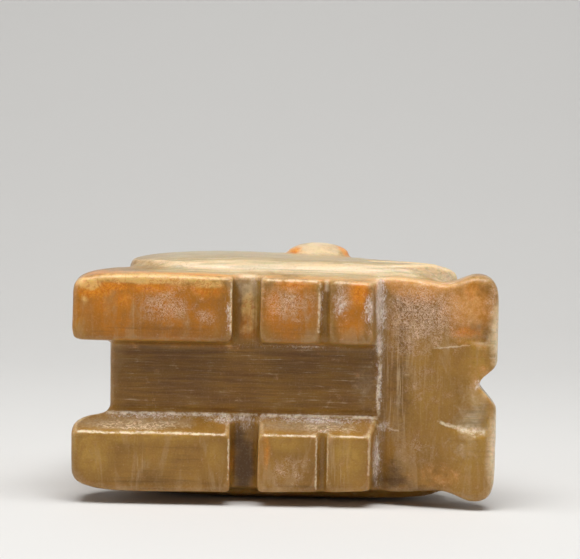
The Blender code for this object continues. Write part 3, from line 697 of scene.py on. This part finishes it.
def wear_and_edge_glint(n, colour):
    """Edges worn pale, with a painted highlight on the edges that face up, and fine light and dark flecks all
    over.
    """
    # Worn pale edges, with a painted highlight along the edges that face up.
    worn = n.mask(n.sum(n.sum(n.marked("edge"), n.grain, 0.8), n.mottle, 0.8), 1.45, 2.1)
    colour = n.mix(n.product(worn, n.sum(0.12, n.upward, 0.4)), colour, RUBBED_PALE_AND_GLINT)
    flecks = n.noise(n.spot, 2.2, 5, 0.7)
    colour = n.mix(n.mask(flecks, 0.52, 0.72), colour, n.mix(0.09, colour, LIGHT_FLECK))
    return n.mix(n.mask(flecks, 0.48, 0.28), colour, n.mix(0.22, colour, DARK_FLECK))


def fine_relief(n):
    """The height of what is too fine to carve: fibres, saw marks, scores, pores and bleached crust."""
    height = n.sum(n.product(n.fibre, 0.5), n.fuzz, 0.2)
    height = n.sum(height, n.product(n.stripe, n.sawn), 0.8)
    height = n.sum(height, n.product(n.belly, n.strand), 0.8)
    return n.sum(n.sum(height, n.pores, -0.5), n.bleached, 0.25)


def jade():
    """Waxy jade: honey to olive, stained orange, bleached and crazed, with saw marks and worn edges, and with
    painted shade and painted highlights.
    """
    n = JadeNodes()
    colour = clear_stone(n)
    layers = (scored_floor, cream_skin, stains, dark_stains_and_shade, etched_patches, saw_marks, bleaching, wear_and_edge_glint)
    for layer in layers:
        colour = layer(n, colour)
    n.put(n.shader.inputs["Base Color"], colour)
    shine = n.sum(n.sum(0.26, n.mottle, 0.10), n.bleached, 0.30)
    n.put(n.shader.inputs["Roughness"], n.sum(shine, n.speck, 0.2))
    bump = n.add("ShaderNodeBump", {"Height": fine_relief(n), "Strength": 0.35, "Distance": 0.00015})
    n.put(n.shader.inputs["Normal"], bump.outputs[0])
    n.shader.inputs["IOR"].default_value = 1.47
    n.shader.inputs["Specular IOR Level"].default_value = 0.30
    n.shader.inputs["Coat Weight"].default_value = 0.20
    n.shader.inputs["Coat Roughness"].default_value = 0.14
    n.shader.inputs["Subsurface Weight"].default_value = 0.42
    n.shader.inputs["Subsurface Radius"].default_value = (1.0, 0.45, 0.15)
    n.shader.inputs["Subsurface Scale"].default_value = 0.0011
    return n.material


# The setting

def backdrop():
    """A plain pale floor that sweeps up behind."""
    n = Nodes("pale_floor")
    n.shader.inputs["Base Color"].default_value = (0.72, 0.71, 0.69, 1)
    n.shader.inputs["Roughness"].default_value = 0.8
    shape = bmesh.new()
    wide, near, far, rise, curve = 1.6, -0.9, 0.42, 1.1, 0.30
    profile = [(near, 0.0), (far - curve, 0.0)]
    profile += [(far - curve + curve * math.sin(a), curve - curve * math.cos(a))
                for a in (math.radians(step * 7.5) for step in range(1, 13))]
    profile.append((far, rise))
    corners = [shape.verts.new((-wide, y, z)) for y, z in profile]
    line_of = [shape.edges.new(pair) for pair in zip(corners, corners[1:])]
    drawn = bmesh.ops.extrude_edge_only(shape, edges=line_of)
    moved = [item for item in drawn["geom"] if isinstance(item, bmesh.types.BMVert)]
    bmesh.ops.translate(shape, verts=moved, vec=(2 * wide, 0, 0))
    bmesh.ops.recalc_face_normals(shape, faces=shape.faces)
    mesh = bpy.data.meshes.new("floor")
    shape.to_mesh(mesh)
    shape.free()
    mesh.shade_smooth()
    mesh.materials.append(n.material)
    floor = bpy.data.objects.new("floor", mesh)
    bpy.context.scene.collection.objects.link(floor)


LIT = Vector((0, 0, 0.014))       # where the lights point, in the middle of the bird


def softbox(name, place, size, power):
    """A broad soft light turned to the bird."""
    light = bpy.data.lights.new(name, "AREA")
    light.shape = "RECTANGLE"
    light.size, light.size_y = size
    light.energy = power
    lamp = bpy.data.objects.new(name, light)
    lamp.location = place
    lamp.rotation_euler = (LIT - Vector(place)).to_track_quat("-Z", "Y").to_euler()
    bpy.context.scene.collection.objects.link(lamp)


def light_the_room():
    """A key from above, two low fills at the sides, and a little light from all round."""
    softbox("key", (0.0, -0.12, 0.39), (0.40, 0.26), 2.1)
    softbox("left_fill", (-0.45, -0.10, 0.12), (0.20, 0.26), 0.35)
    softbox("right_fill", (0.45, -0.08, 0.12), (0.20, 0.26), 0.35)
    world = bpy.data.worlds.new("room")
    world.use_nodes = True
    world.node_tree.nodes["Background"].inputs["Color"].default_value = (1, 1, 1, 1)
    world.node_tree.nodes["Background"].inputs["Strength"].default_value = 0.10
    bpy.context.scene.world = world
    bpy.context.scene.view_settings.view_transform = "Standard"


def place_camera():
    """Square to the soles and a little above them, as the photograph was taken."""
    wide, high, away, focal = 580, 559, 0.320, 2720.0
    middle_at = (284.7, 386.5)
    tilt, roll = math.radians(8.0), math.radians(1.1)
    back = TURN @ Vector((0, -math.cos(tilt), math.sin(tilt)))
    up = TURN @ Vector((-math.sin(roll), 0, math.cos(roll)))
    right = (-back).cross(up).normalized()
    up = right.cross(-back).normalized()
    swing = Matrix.Rotation(math.atan((middle_at[1] - high / 2) / focal), 3, right)
    swing = swing @ Matrix.Rotation(math.atan((middle_at[0] - wide / 2) / focal), 3, up)
    forward = swing @ -back
    right = forward.cross(up).normalized()
    up = right.cross(forward)
    lens = bpy.data.cameras.new("camera")
    lens.sensor_width = 36.0
    lens.lens = focal * lens.sensor_width / wide
    lens.clip_start, lens.clip_end = 0.01, 10.0
    camera = bpy.data.objects.new("camera", lens)
    turn = Matrix((right, up, -forward)).transposed().to_4x4()
    camera.matrix_world = Matrix.Translation(PLACE + back * away) @ turn
    bpy.context.scene.collection.objects.link(camera)
    bpy.context.scene.camera = camera


def dress_bird():
    """Makes the worked stone and puts it in the place of the plain one."""
    bird = worked_copy("bird_carving")
    surface = Surface(bird.data)
    polish(surface)
    carve_head(surface)
    score_toes(surface)
    carve_wings(surface)
    work_by_hand(surface)
    surface.store()
    settle_marks(surface)
    paint(surface)
    surface.store()
    bird.data.shade_smooth()
    bird.data.materials.clear()
    bird.data.materials.append(jade())
    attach(bird, "root")
    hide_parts("bird_carving")


place_camera()
dress_bird()
backdrop()
light_the_room()
